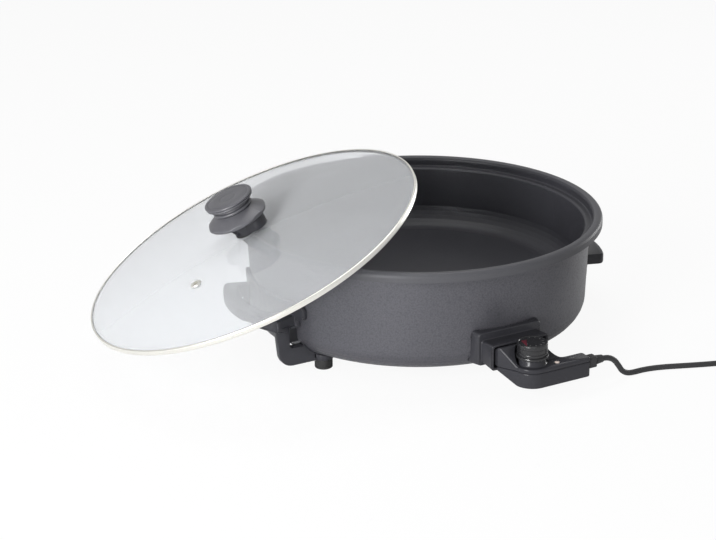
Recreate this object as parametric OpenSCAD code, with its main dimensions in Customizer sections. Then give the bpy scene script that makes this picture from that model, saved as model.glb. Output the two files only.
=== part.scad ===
// Electric skillet: a round double-walled pan on four feet, with a plug-in
// thermostat controller and a loose domed glass lid that leans on the rim.
// Millimetres, +Z up. The origin is on the pan's axis, at table level. The
// handles lie along X and the controller plugs in from -Y.

/* [Pan] */
// Outer diameter over the rolled rim
rim_d = 420; // [400:2:436]
// Height of the rolled rim
rim_h = 10; // [9:0.5:11]
// Width of the rolled rim
rim_w = 11.5; // [11:0.5:13]
// Rounding of the rolled rim's edges
rim_round = 5; // [4:0.25:5.25]
// Sheet thickness of the pan
pan_wall = 2; // [1.5:0.25:2.5]
// Depth of the pan from its rim to its floor
pan_depth = 81.5; // [76:0.5:86]
// Depth of the lid's seat below the rim
seat_drop = 11.5; // [11:0.5:14]
// Width of the lid's seat
seat_w = 8.8; // [8:0.2:10.4]
// Rounding of the seat's inner edge
seat_round = 3; // [2.75:0.25:4]
// How far the pan's wall leans in below the seat
pan_lean = 4.5; // [2:0.5:7]
// Inside radius between the wall and the floor
pan_fillet = 28; // [20:1:32]

/* [Shell] */
// Height of the shell's base above the table
base_clear = 18; // [17:0.5:22]
// Height of the outer shell
shell_h = 107.5; // [102:0.5:112]
// Sheet thickness of the shell
shell_wall = 1.5; // [1:0.25:2]
// Inset of the shell's top edge below the rolled rim
shell_inset = 4.5; // [4:0.25:5.5]
// How far the shell leans in towards its base
shell_lean = 3; // [1:0.5:5]
// Outside radius between the shell's wall and base
shell_fillet = 25; // [20:1:28]

/* [Heater] */
// Thickness of the heat spreader plate
plate_t = 5; // [4:0.5:6]
// Inset of the heat spreader plate from the shell's upper edge
plate_in = 46; // [44:1:50]
// Centre radius of the tubular heating element
ring_r = 105; // [96:1:112]
// Radius of the element's sheath
sheath_r = 4; // [3.5:0.25:4.5]
// Bend radius where the element turns out to its terminals
bend_r = 16; // [13:1:20]
// Wall of the channel that the element is pressed into
channel_wall = 3; // [2:0.5:4]
// Half the distance between the two terminal pins
pin_x = 16; // [14:0.5:18]
// Radius of a terminal pin
pin_r = 2; // [1.75:0.25:2.25]
// Radius of the thermostat probe
probe_r = 3; // [2.5:0.25:3]
// Outer radius of the probe's guide tube
guide_r = 4; // [4:0.25:4.5]
// Centre radius of the three studs that hold the pan in the shell
stud_circle = 75; // [60:1:82]
// Radius of a stud's thread
stud_r = 2.5; // [2:0.25:3]
// Radius of a stud's spacer
spacer_r = 4.5; // [4:0.25:5.5]

/* [Handles] */
// How far the grips reach past the rim
grip_out = 24; // [22:1:28]
// Angle between the two ends of a grip
grip_angle = 34.6; // [33:0.2:36]
// Radius of the grip's outer curve
grip_arc = 127; // [120:1:134]
// Thickness of a grip
grip_t = 12.5; // [11:0.5:14]
// Height of a grip's underside above the shell's base
grip_up = 35.5; // [33:0.5:39]
// Width of the grip bar
grip_bar = 17; // [15:0.5:18.5]
// Rounding of the grip's end corners
grip_corner = 8; // [6:0.5:10]
// Rounding of the grip's outer edges
grip_round = 2.5; // [1.5:0.5:3.5]
// Width of the finger hole
hole_w = 92; // [86:2:94]
// Thickness of the plate that lies on the shell
back_t = 4.5; // [4:0.5:6]
// Width of the plate above the grip
back_w = 143; // [138:1:148]
// How far the plate stands up above the grip
back_up = 13; // [10:0.5:16]
// Width of the plate's lower apron
apron_w = 124; // [118:2:130]
// How far the apron reaches below the grip
apron_drop = 33.5; // [28:0.5:34.5]
// How far the webs at the apron's ends stand out from the shell
web_out = 11; // [9:0.5:12]
// How far the leg's middle lies outside the grip's end at the shell
leg_out = 2.7; // [2:0.1:3.5]
// Thickness of the leg
leg_t = 8; // [6:0.5:10]
// Depth of the leg's upright limb
limb_t = 16; // [14:0.5:17]
// How far the limb's outer face stands inside the grip's reach
limb_in = 20; // [18:0.5:22]
// How far the limb leans in towards the table
limb_lean = 3; // [1:0.5:5]
// Height of the leg's arm over the foot where it meets the limb
arm_h = 21; // [18:0.5:24]
// Outer bend radius of the leg
leg_bend = 16; // [12:0.5:18]

/* [Feet] */
// Height of the rubber foot pads
pad_h = 11; // [9:0.5:12]
// Radius of the rubber foot pads
pad_r = 10; // [8:0.5:11]
// Inset of the feet from the shell's upper edge
foot_in = 40; // [38:1:44]

/* [Socket bracket] */
// Width of the flange against the shell
flange_w = 86; // [84:1:92]
// Height of the flange
flange_h = 39; // [37:0.5:42]
// Draft of the flange on each side
flange_draft = 4; // [2:0.5:5]
// How far the flange's face stands out past the shell
flange_out = 4; // [3:0.5:6]
// Width of the shroud
shroud_w = 71; // [70:0.5:74]
// Height of the shroud at its mouth
shroud_h = 29; // [28:0.5:31]
// Length of the shroud from the flange to its mouth
shroud_l = 21; // [19:0.5:24]
// Wall of the shroud
shroud_wall = 3; // [2.5:0.25:3.25]
// Thickness of the web that carries the pins
web_t = 5; // [4:0.5:6]
// How far the shroud's middle lies below the pins
shroud_sink = 2.5; // [1.5:0.25:3]
// Sideways place of the flange and shroud from the pins
socket_x = -2.5; // [-3:0.25:-1.5]

/* [Controller] */
// Width of the plug that enters the socket
plug_w = 61; // [58:0.5:62]
// Height of the plug
plug_h = 19; // [17:0.5:20]
// How far the housing's floor lies below the pins
case_drop = 29.5; // [28.5:0.5:31.5]
// Height of the housing
case_h = 22; // [20:0.5:24]
// Height of the neck at its back
neck_h = 26; // [24:0.5:28]
// Wall of the hollow arm
case_wall = 2.5; // [2:0.25:3]
// Height of the seam above the housing's floor
seam_h = 17; // [16:0.5:18]
// Radius of the housing's rounded head
head_r = 21; // [20:0.5:22]
// Distance from the socket's mouth to the dial's axis
dial_out = 19; // [18.5:0.5:21]
// Reach of the arm to the side of the dial's axis
arm_l = 61.5; // [58:0.5:65]
// Width of the arm
arm_w = 17; // [15:0.5:19]
// Radius of the hollow between the neck and the arm
neck_fillet = 20; // [16:1:22]
// Height of the boss below the dial
boss_h = 7; // [6:0.5:8]
// Radius of the dial
dial_r = 16.5; // [15:0.5:17.5]
// Height of the dial
dial_h = 16.7; // [15:0.1:18]
// Radius of the dial's shaft
shaft_r = 3; // [2.5:0.25:3.5]

/* [Lid] */
// Diameter of the lid over its metal band
lid_d = 390; // [384:1:394]
// Thickness of the glass
glass_t = 4; // [3:0.5:5]
// Rise of the glass dome
dome_rise = 16; // [15.5:0.25:20]
// Sheet thickness of the band
band_t = 0.9; // [0.6:0.1:1]
// Width of the band's lips
band_w = 4; // [3:0.5:5]
// Radius of the steam vent's eyelet
vent_r = 6; // [5:0.5:7]
// Distance of the vent from the middle of the lid
vent_out = 91; // [80:1:110]
// Tilt of the leaning lid
lid_tilt = 23.44; // [22:0.1:25]
// Depth of the lid's middle below the rim's top
lid_sink = 14.1; // [13:0.1:14.1]

/* [Knob] */
// Radius of the pedestal's foot
pedestal_r = 10; // [9:0.5:12]
// Height of the pedestal
pedestal_h = 17.5; // [15:0.5:20]
// Radius of the pedestal's top
pedestal_top_r = 17; // [16:0.5:19]
// Reach of the pedestal's wing
wing_r = 29.5; // [27:0.5:30]
// Radius of the finger guard over its corners
guard_r = 34; // [32.5:0.5:36]
// Height of the finger guard
guard_h = 13; // [12:0.5:15]
// Thickness of the finger guard's edge
guard_t = 4.5; // [4:0.5:6]
// Radius of the knob's collar
collar_r = 22; // [21:0.5:24]
// Height of the collar
collar_h = 9; // [8:0.5:11]
// Radius of the knob's cap
cap_r = 27.5; // [26:0.5:30]
// Height of the knob's cap
cap_h = 5.5; // [5:0.5:7]
// Radius of the knob's screw
screw_r = 2.5; // [2:0.25:3]

/* [Cord] */
// Diameter of the mains cord
cord_d = 6.2; // [6:0.1:6.4]

/* [Hidden] */
$fn = 96;

// Clearances
seat_gap = 0.2;   // between a moulding and the curved shell it lies on
fit_gap = 0.1;    // round a screw, pin or seal in the hole that holds it
run_gap = 0.05;   // round a shaft that turns
slide_gap = 0.08; // round a pin in its receptacle
part_gap = 0.3;   // between pieces that move past each other
eps = 0.01;
far = 300;        // longer than any cut needs

// Heights
shell_top_z = base_clear + shell_h;
seat_z = shell_top_z + pan_wall;
rim_z = seat_z + seat_drop;
floor_z = rim_z - pan_depth;
under_z = floor_z - pan_wall;
plate_z = under_z - plate_t;
pin_z = plate_z - sheath_r;
grip_z = base_clear + grip_up;

// Radii
rim_r = rim_d / 2;
seat_r = rim_r - rim_w;
well_r = seat_r - seat_w;
corner_r = 1.5;
shell_r = seat_r + pan_wall - shell_inset;
base_r = shell_r - shell_lean;
plate_r = shell_r - plate_in;
foot_u = shell_r - foot_in;

// A handle, from the pan's axis outwards along +X
grip_r = rim_r + grip_out;
grip_mid = grip_r - grip_arc;
leg_v = shell_r * sin(grip_angle / 2) + leg_out;

// The feet: two under the handles' legs, two under the base
foot_turns = [0, 90, 180, 270];
stud_turns = [90, 210, 330];

// The socket and the controller, from the shell outwards along -Y
flange_y = -(shell_r + flange_out);
mouth_y = flange_y - shroud_l;
socket_floor_y = flange_y - 3;
web_y = socket_floor_y + web_t;
spigot_w = 58;
spigot_h = 24;
spigot_y = web_y + 12;
element_end_y = -(shell_r - 31);
pin_tip_y = mouth_y + 4;
neck_y = mouth_y - 1;
plug_y = socket_floor_y - 1;
plug_z = pin_z - shroud_sink;
dial_y = mouth_y - dial_out;
front_y = dial_y - head_r;
case_z = pin_z - case_drop;
arm_back_y = front_y + arm_w;
seam_z = case_z + seam_h;
case_top_z = case_z + case_h;
boss_z = case_top_z + boss_h;
dial_z = boss_z + part_gap;
neck_z = plug_z - neck_h / 2 - 1;
neck_left = socket_x - plug_w / 2;
neck_right = dial_r + 5;
cord_y = front_y + arm_w / 2;
cord_z = case_z + 13.5;

// The lid, in its own frame: z = 0 is the underside of its band
lid_r = lid_d / 2;
glass_z = band_t + fit_gap;
dome_r = lid_r - band_w - 1;
dome_sphere = (dome_r * dome_r + dome_rise * dome_rise) / (2 * dome_rise);
crown_z = glass_z + dome_rise + glass_t;
gasket_t = 1.5;
pedestal_z = crown_z + gasket_t;
guard_z = pedestal_z + pedestal_h;
collar_z = guard_z + guard_h;
cap_z = collar_z + collar_h;
washer_t = 0.8;

// The lid leans on the rim with its middle over the rim's crest
lid_bearing = 177.27;
lid_fall = 166.3;
lid_lean_r = rim_r - rim_w / 2 - 0.5;

// The cord's route, chosen by hand: out of the controller, down to the table
// and away to a coil, then from the coil's top to the plug
coil_c = [312, -266];
coil_r = 34;
coil_turns = 3.25;
coil_pitch = 6.3;
coil_z = 1.2;
CORD_RUN = [
    [82, -252.5, 30.5], [90.5, -252.5, 29], [98, -252.2, 24.7],
    [104.5, -251.8, 17], [110.5, -251.3, 9.1], [118, -250.7, 4.7],
    [127, -250.2, 3.3], [138, -250.2, 3.2], [151, -252, 3.2],
    [165, -256, 3.2],
    [182, -262.5, 3.2], [200, -269.5, 3.2], [218, -276, 3.2],
    [236, -282, 3.2], [254, -288, 3.2], [272, -293.5, 3.3],
    [292, -298, 3.7], [312, -300, 4.3]
];
CORD_TAIL = [
    [346, -266, 24.8], [346, -250, 24.4], [346, -236, 22.8],
    [346, -223, 20.4], [346, -210, 19]
];
plug_r = 18.5;

// ---- shared shapes -------------------------------------------------------

function arc(c, r, a0, a1, n = 8) =
    [for (i = [0:n]) let (a = a0 + (a1 - a0) * i / n)
        [c[0] + r * cos(a), c[1] + r * sin(a)]];

// Height of the glass dome above its flat edge, at distance r from the middle
function dome_h(r) =
    sqrt(dome_sphere * dome_sphere - r * r) - dome_sphere + dome_rise;

// Radius of the shell's outer face at height z, above its fillet
function shell_r_at(z) =
    base_r + shell_lean * (z - base_clear - shell_fillet)
        / (shell_h - shell_fillet);

module rounded(w, h, r) {
    square([w - 2 * r, h], center = true);
    square([w, h - 2 * r], center = true);
    for (x = [-1, 1], y = [-1, 1])
        translate([x * (w / 2 - r), y * (h / 2 - r)]) circle(r);
}

// A plate that faces -Y, with its back at y and its middle at height z
module y_plate(w, h, r, y, z, t) {
    translate([0, y, z]) rotate([90, 0, 0])
        linear_extrude(t) rounded(w, h, r);
}

// The outer form of the shell, grown by a distance all over
module shell_form(grow = 0) {
    rotate_extrude() polygon(concat(
        [[0, base_clear - grow]],
        arc([base_r - shell_fillet, base_clear + shell_fillet],
            shell_fillet + grow, -90, 0),
        [[shell_r + grow, shell_top_z], [0, shell_top_z]]
    ));
}

module lid_place() {
    translate([lid_lean_r * cos(lid_bearing), lid_lean_r * sin(lid_bearing),
               rim_z - lid_sink])
        rotate([0, 0, lid_fall]) rotate([0, lid_tilt, 0])
            rotate([0, 0, -lid_fall]) children();
}

// A screw that goes out through the shell's wall from inside, along +X
module wall_screw(z, head_r = 4, head_t = 2.5, thread_r = 2, reach = 12) {
    wall_in = shell_r_at(z) - shell_wall;
    translate([0, 0, z]) rotate([0, 90, 0]) {
        translate([0, 0, wall_in - head_t - 0.5]) cylinder(h = head_t, r = head_r);
        translate([0, 0, wall_in - 0.6]) cylinder(h = reach, r = thread_r);
    }
}

module wall_screw_hole(z, thread_r = 2, reach = 13) {
    translate([0, 0, z]) rotate([0, 90, 0])
        translate([0, 0, shell_r_at(z) - 5])
            cylinder(h = reach + 3, r = thread_r + fit_gap);
}

// ---- pan and shell -------------------------------------------------------

handle_screw_turn = asin((hole_w / 2 + 8) / shell_r);
handle_screw_z = grip_z + grip_t / 2;
bracket_screw_turn = asin((flange_w / 2 - 8.5) / shell_r);

module inner_pan() {
    floor_c = [well_r - pan_lean - pan_fillet, floor_z + pan_fillet];
    seat_c = [well_r + seat_round, seat_z - seat_round];
    corner_c = [seat_r - corner_r, seat_z + corner_r];
    roll_in = [seat_r + rim_round, rim_z - rim_round];
    roll_out = [rim_r - rim_round, rim_z - rim_round];
    color([0.16, 0.16, 0.17]) rotate_extrude() polygon(concat(
        [[0, floor_z]],
        arc(floor_c, pan_fillet, -90, 0),
        arc(seat_c, seat_round, 180, 90, 4),
        arc(corner_c, corner_r, -90, 0, 3),
        arc(roll_in, rim_round, 180, 90, 6),
        arc(roll_out, rim_round, 90, 0, 6),
        [[rim_r, rim_z - rim_h], [rim_r - pan_wall, rim_z - rim_h]],
        arc(roll_out, rim_round - pan_wall, 0, 90, 6),
        arc(roll_in, rim_round - pan_wall, 90, 180, 6),
        arc(corner_c, corner_r + pan_wall, 0, -90, 3),
        arc(seat_c, seat_round - pan_wall, 90, 180, 4),
        arc(floor_c, pan_fillet + pan_wall, 0, -90),
        [[0, under_z]]
    ));
}

module outer_shell() {
    fillet_c = [base_r - shell_fillet, base_clear + shell_fillet];
    color([0.36, 0.36, 0.37]) difference() {
        rotate_extrude() polygon(concat(
            [[0, base_clear]],
            arc(fillet_c, shell_fillet, -90, 0),
            [[shell_r, shell_top_z], [shell_r - shell_wall, shell_top_z]],
            arc(fillet_c, shell_fillet - shell_wall, 0, -90),
            [[0, base_clear + shell_wall]]
        ));
        y_plate(spigot_w + 1, spigot_h + 1, 3, spigot_y, pin_z, far);
        for (side = [0, 180], turn = [-1, 1] * handle_screw_turn)
            rotate([0, 0, side + turn]) wall_screw_hole(handle_screw_z);
        for (turn = [-1, 1] * bracket_screw_turn)
            rotate([0, 0, turn - 90]) wall_screw_hole(pin_z);
        for (turn = stud_turns) rotate([0, 0, turn])
            translate([stud_circle, 0, base_clear - 1])
                cylinder(h = shell_wall + 2, r = stud_r + fit_gap);
    }
}

// ---- heater --------------------------------------------------------------

element_turn = asin((bend_r + pin_x) / (ring_r + bend_r));
bend_y = -(ring_r + bend_r) * cos(element_turn);

module heater_plate() {
    channel_r = sheath_r + fit_gap;
    color("silver") difference() {
        union() {
            translate([0, 0, plate_z]) cylinder(h = plate_t, r = plate_r);
            translate([0, 0, pin_z - 1]) difference() {
                cylinder(h = sheath_r + 1 + eps,
                         r = ring_r + channel_r + channel_wall);
                translate([0, 0, -1]) cylinder(h = sheath_r + 3,
                         r = ring_r - channel_r - channel_wall);
            }
        }
        translate([0, 0, pin_z]) rotate_extrude()
            translate([ring_r, 0]) circle(channel_r);
        // the channel stops where the element turns out to its terminals
        translate([-(bend_r + pin_x + 8), -(ring_r + 20), pin_z - 2])
            cube([2 * (bend_r + pin_x + 8), 40, sheath_r + 2]);
    }
}

// A full ring of round rod, and the wedge that a part of it lies in
module rod_ring(r, rod_r) {
    rotate_extrude() translate([r, 0]) circle(rod_r);
}

module wedge(a0, a1, r, h) {
    mid = (a0 + a1) / 2;
    translate([0, 0, -h / 2]) linear_extrude(h) polygon([
        [0, 0], r * [cos(a0), sin(a0)], 2 * r * [cos(mid), sin(mid)],
        r * [cos(a1), sin(a1)]
    ]);
}

// The sheath is drawn down in a short groove where the ring's ends meet the
// bends that lead to the terminals
module heating_element() {
    groove = 2;
    ring_skip = 180 * groove / 2 / (PI * ring_r);
    bend_skip = 180 * groove / 2 / (PI * bend_r);
    open = element_turn + ring_skip;
    color("dimgray") translate([0, 0, pin_z]) {
        difference() {
            rod_ring(ring_r, sheath_r);
            wedge(270 - open, 270 + open, far, 4 * sheath_r);
        }
        for (side = [0, 1]) mirror([side, 0, 0]) {
            translate([-ring_r * sin(element_turn), -ring_r * cos(element_turn), 0])
                rotate([0, 90, -element_turn])
                    cylinder(h = 2 * groove, r = sheath_r - 0.4, center = true);
            translate([-(ring_r + bend_r) * sin(element_turn), bend_y, 0])
                intersection() {
                    rod_ring(bend_r, sheath_r);
                    wedge(0, 90 - element_turn - bend_skip, far, 4 * sheath_r);
                }
            translate([-pin_x, bend_y, 0]) rotate([90, 0, 0])
                cylinder(h = bend_y - element_end_y, r = sheath_r);
        }
    }
}

module terminal_pin(side) {
    color("gainsboro") translate([side * pin_x, element_end_y, pin_z])
        rotate([90, 0, 0]) cylinder(h = element_end_y - pin_tip_y, r = pin_r);
}

module element_seal(side) {
    color("ivory") translate([side * pin_x, element_end_y, pin_z])
        rotate([90, 0, 0]) difference() {
            cylinder(h = 6, r = sheath_r + 0.5);
            translate([0, 0, -1]) cylinder(h = 8, r = pin_r + run_gap);
        }
}

// The probe slides in this tube, which lies under the plate's edge
module probe_guide_tube() {
    inner_end_y = -(plate_r - 12);
    color("silver") translate([0, inner_end_y, plate_z - guide_r])
        rotate([90, 0, 0]) difference() {
            cylinder(h = inner_end_y - socket_floor_y, r = guide_r);
            translate([0, 0, -1])
                cylinder(h = inner_end_y - socket_floor_y + 2,
                         r = probe_r + part_gap);
        }
}

module earth_strip_form(grow = 0) {
    strip_w = 10;
    strip_t = 1;
    z = plug_z + shroud_h / 2 - shroud_wall - strip_t - 0.5;
    translate([-strip_w / 2 - grow, mouth_y + 5, z - grow])
        cube([strip_w + 2 * grow, web_y - mouth_y - 2, strip_t + 2 * grow]);
}

module earth_strip() {
    color("goldenrod") earth_strip_form();
}

module pan_stud(turn) {
    color("silver") rotate([0, 0, turn]) translate([stud_circle, 0, 0]) {
        translate([0, 0, base_clear + shell_wall])
            cylinder(h = plate_z - base_clear - shell_wall, r = spacer_r);
        translate([0, 0, base_clear - 5])
            cylinder(h = shell_wall + 5 + eps, r = stud_r);
    }
}

module pan_nut(turn) {
    color("silver") rotate([0, 0, turn])
        translate([stud_circle, 0, base_clear - 4]) difference() {
            cylinder(h = 4, r = stud_r * 1.85, $fn = 6);
            translate([0, 0, -1]) cylinder(h = 6, r = stud_r + run_gap);
        }
}

// ---- handles and feet ----------------------------------------------------

// The grip seen from above: its outer curve meets two radial ends
module grip_outline() {
    end = grip_angle / 2;
    inner_arc = grip_arc - grip_corner;
    turn = end + asin((grip_mid * sin(end) - grip_corner) / inner_arc);
    corner = [grip_mid + inner_arc * cos(turn), inner_arc * sin(turn)];
    end_point = corner + grip_corner * [-sin(end), cos(end)];
    arc_point = [grip_mid, 0] + 2 * grip_arc * [cos(turn), sin(turn)];
    for (side = [0, 1]) mirror([0, side]) {
        intersection() {
            translate([grip_mid, 0]) circle(grip_arc);
            polygon([[0, -eps], [0, 0], end_point, corner, arc_point,
                     [arc_point[0], -eps]]);
        }
        translate(corner) circle(grip_corner);
    }
}

module finger_hole() {
    translate([0, 0, grip_z - 1]) linear_extrude(grip_t + 2) intersection() {
        translate([grip_mid, 0]) circle(grip_arc - grip_bar);
        translate([0, -hole_w / 2]) square([grip_r, hole_w]);
    }
}

module grip() {
    edge = grip_arc - grip_round;
    difference() {
        intersection() {
            translate([grip_mid, 0, 0]) rotate_extrude() polygon(concat(
                [[0, grip_z]],
                arc([edge, grip_z + grip_round], grip_round, -90, 0, 4),
                arc([edge, grip_z + grip_t - grip_round], grip_round, 0, 90, 4),
                [[0, grip_z + grip_t]]
            ));
            translate([0, 0, grip_z - 1])
                linear_extrude(grip_t + 2) grip_outline();
        }
        finger_hole();
    }
}

// The plate that lies on the shell, with a web down each end of its apron
module back_plate() {
    web_w = 8;
    low_z = grip_z - apron_drop;
    wide_z = grip_z + grip_t - 3;
    top_z = grip_z + grip_t + back_up;
    apron_h = wide_z + 8 - low_z;
    intersection() {
        shell_form(seat_gap + back_t);
        rotate([90, 0, 90]) linear_extrude(far) {
            translate([0, low_z + apron_h / 2]) rounded(apron_w, apron_h, 5);
            translate([0, (wide_z + top_z) / 2])
                rounded(back_w, top_z - wide_z, 4);
        }
    }
    intersection() {
        shell_form(seat_gap + web_out);
        for (side = [0, 1]) mirror([0, side, 0])
            translate([0, apron_w / 2 - web_w, low_z + 2])
                cube([far, web_w, apron_drop]);
    }
}

// The leg goes down from the grip and in under the shell to a foot
module leg() {
    limb_u = grip_r - limb_in;
    arm_z = pad_h + arm_h;
    lean = atan(limb_lean / (grip_z - pad_h - leg_bend));
    inner_bend = 4;
    translate([0, leg_v + leg_t / 2, 0]) rotate([90, 0, 0])
        linear_extrude(leg_t) polygon(concat(
            [[foot_u, pad_h]],
            arc([limb_u - limb_lean - leg_bend, pad_h + leg_bend],
                leg_bend, -90, -lean),
            [[limb_u, grip_z + 3], [limb_u - limb_t, grip_z + 3]],
            arc([limb_u - limb_t - inner_bend, arm_z + inner_bend],
                inner_bend, 0, -90, 4),
            [[foot_u, arm_z]]
        ));
    translate([foot_u, leg_v, pad_h])
        cylinder(h = base_clear - seat_gap - pad_h, r = pad_r + 1);
}

module pad_socket() {
    translate([foot_u, leg_v, pad_h - 1]) cylinder(h = 5.2, r = 4 + fit_gap);
}

module handle() {
    difference() {
        union() {
            grip();
            back_plate();
            leg();
        }
        // everything follows the shell, and the finger hole stays open
        shell_form(seat_gap);
        translate([0, 0, -1]) cylinder(h = base_clear, r = foot_u - pad_r - 2);
        pad_socket();
        for (turn = [-1, 1] * handle_screw_turn)
            rotate([0, 0, turn]) wall_screw_hole(handle_screw_z);
    }
}

module handle_right() { color([0.15, 0.15, 0.15]) handle(); }
module handle_left() { color([0.15, 0.15, 0.15]) rotate([0, 0, 180]) handle(); }

module handle_screw(side, turn) {
    color("silver") rotate([0, 0, side + turn * handle_screw_turn])
        wall_screw(handle_screw_z);
}

// The two feet that no handle carries have a stem of their own
module base_foot(turn) {
    color([0.15, 0.15, 0.15]) rotate([0, 0, turn]) difference() {
        translate([foot_u, leg_v, pad_h])
            cylinder(h = base_clear - pad_h, r1 = pad_r + 1, r2 = pad_r + 3);
        pad_socket();
    }
}

module foot_pad(turn) {
    color([0.12, 0.12, 0.12]) rotate([0, 0, turn])
        translate([foot_u, leg_v, 0]) rotate_extrude() polygon([
            [4, 0], [pad_r - 1, 0], [pad_r, 2], [pad_r, pad_h],
            [4, pad_h], [4, pad_h + 4], [0, pad_h + 4], [0, 3], [4, 3]
        ]);
}

// ---- socket bracket ------------------------------------------------------

module socket_bracket() {
    thin = 0.5;
    root_h = shroud_h - 4;
    flange_back_y = -(shell_r - 12);
    color([0.17, 0.17, 0.17]) difference() {
        union() {
            difference() {
                translate([socket_x, 0, 0]) hull() {
                    y_plate(flange_w, flange_h, 4, flange_back_y, pin_z, thin,
                            $fn = 32);
                    y_plate(flange_w - 2 * flange_draft, flange_h - 2, 4,
                            flange_y + thin, pin_z, thin, $fn = 32);
                }
                shell_form(seat_gap);
            }
            translate([socket_x, 0, 0]) hull() {
                y_plate(shroud_w, root_h, 3, flange_y + thin, plug_z, thin,
                        $fn = 32);
                y_plate(shroud_w, shroud_h, 3, mouth_y + thin, plug_z, thin,
                        $fn = 32);
            }
            y_plate(spigot_w, spigot_h, 2.5, spigot_y, pin_z,
                    spigot_y - flange_y);
        }
        // the socket's mouth, and the recess behind the web
        translate([socket_x, 0, 0])
            y_plate(shroud_w - 2 * shroud_wall, shroud_h - 2 * shroud_wall, 2,
                    socket_floor_y, plug_z, far);
        y_plate(spigot_w - 6, spigot_h - 6, 1.5, spigot_y + 1, pin_z,
                spigot_y + 1 - web_y);
        for (side = [-1, 1]) translate([side * pin_x, spigot_y, pin_z])
            rotate([90, 0, 0]) cylinder(h = far, r = pin_r + fit_gap);
        translate([0, spigot_y, plate_z - guide_r]) rotate([90, 0, 0])
            cylinder(h = far, r = guide_r + fit_gap);
        earth_strip_form(fit_gap);
        for (turn = [-1, 1] * bracket_screw_turn)
            rotate([0, 0, turn - 90]) wall_screw_hole(pin_z, reach = 7);
    }
}

module bracket_screw(turn) {
    color("silver") rotate([0, 0, turn * bracket_screw_turn - 90])
        wall_screw(pin_z, reach = 6);
}

// ---- controller ----------------------------------------------------------

module arm_plan(inset = 0) {
    corner = 3.5;
    w = arm_w - 2 * inset;
    translate([0, front_y + inset]) {
        square([arm_l - inset - corner, w]);
        translate([0, corner]) square([arm_l - inset, w - 2 * corner]);
        for (y = [corner, w - corner])
            translate([arm_l - inset - corner, y]) circle(corner);
    }
}

module case_plan() {
    translate([0, dial_y]) circle(head_r);
    polygon([[neck_left, neck_y], [neck_right, neck_y],
             [neck_right, arm_back_y], [-head_r + 0.5, dial_y - 4]]);
    arm_plan();
    // the hollow corner between the neck and the arm
    difference() {
        translate([0, front_y + 2])
            square([neck_right + neck_fillet,
                    arm_back_y + neck_fillet - front_y - 2]);
        translate([neck_right + neck_fillet, arm_back_y + neck_fillet])
            circle(neck_fillet);
    }
}

module case_side() {
    slope_y = neck_y - 21;
    polygon([
        [neck_y, neck_z], [neck_y, neck_z + neck_h],
        [neck_y - 4, neck_z + neck_h], [slope_y, case_top_z],
        [front_y, case_top_z], [front_y, case_z], [slope_y, case_z]
    ]);
}

module case_form() {
    difference() {
        intersection() {
            linear_extrude(far / 3) case_plan();
            translate([-far / 2, 0, 0]) rotate([90, 0, 90])
                linear_extrude(far) case_side();
        }
        // the dial turns in this pocket
        translate([0, dial_y, case_top_z])
            cylinder(h = far / 3, r = dial_r + 1 + 2 * part_gap);
    }
    // the boss below the dial, clear of the neck's back face
    translate([0, dial_y, case_top_z - eps])
        cylinder(h = boss_h + eps, r1 = dial_r - 1, r2 = dial_r - 3);
}

module case_cavities() {
    // wiring space in the arm
    translate([head_r - 4, 0, case_z + case_wall])
        linear_extrude(case_h - 2 * case_wall) intersection() {
            translate([4 - head_r, 0]) arm_plan(case_wall);
            translate([0, front_y]) square([arm_l, arm_w]);
        }
    // cam pocket and the shaft's bearing
    translate([0, dial_y, case_z + 11])
        cylinder(h = seam_h - 11, r = 9);
    translate([0, dial_y, case_z + 11])
        cylinder(h = far / 3, r = shaft_r + run_gap);
    // tongue of the contact block
    tongue_form(fit_gap);
    relief_form(fit_gap);
    lens_form(fit_gap);
}

module controller_lower_case() {
    color([0.17, 0.17, 0.18]) difference() {
        intersection() {
            case_form();
            translate([-far / 2, -far * 1.5, 0]) cube([far, far * 2, seam_z]);
        }
        case_cavities();
    }
}

module controller_upper_case() {
    color([0.17, 0.17, 0.18]) difference() {
        intersection() {
            case_form();
            translate([-far / 2, -far * 1.5, seam_z]) cube([far, far * 2, far]);
        }
        case_cavities();
    }
}

module tongue_form(grow = 0) {
    z0 = seam_z + 1.5;
    w = 40 + 2 * grow;
    translate([socket_x - w / 2, neck_y - 8 - grow, z0 - grow])
        cube([w, 9, case_top_z + 5 - z0 + 2 * grow]);
}

module contact_block() {
    color([0.2, 0.17, 0.15]) difference() {
        union() {
            translate([socket_x, 0, 0])
                y_plate(plug_w, plug_h, 2, plug_y, plug_z, plug_y - neck_y);
            difference() {
                tongue_form();
                translate([-far / 2, neck_y, 0]) cube([far, 20, far]);
            }
        }
        for (side = [-1, 1]) translate([side * pin_x, plug_y + 1, pin_z])
            rotate([90, 0, 0])
                cylinder(h = plug_y - neck_y - 1, r = pin_r + 1.2 + fit_gap);
        translate([0, plug_y + 1, plate_z - guide_r]) rotate([90, 0, 0])
            cylinder(h = 15, r = probe_r + run_gap);
    }
}

module receptacle(side) {
    l = plug_y - neck_y - 2;
    color("goldenrod") translate([side * pin_x, plug_y, pin_z])
        rotate([90, 0, 0]) difference() {
            cylinder(h = l, r = pin_r + 1.2);
            translate([0, 0, -1]) cylinder(h = l, r = pin_r + slide_gap);
        }
}

module probe_rod() {
    tip_y = -(plate_r - 10);
    back_y = plug_y - 14;
    color("silver") translate([0, tip_y, plate_z - guide_r]) {
        rotate([90, 0, 0]) cylinder(h = tip_y - back_y, r = probe_r);
        sphere(r = probe_r);
    }
}

module lens_form(grow = 0) {
    translate([dial_r + 7, cord_y, case_top_z - case_wall - 1])
        cylinder(h = case_wall + 1.6 + 2 * grow, r = 2.6 + grow);
}

module neon_lens() {
    color([0.9, 0.35, 0.2]) lens_form();
}

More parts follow.
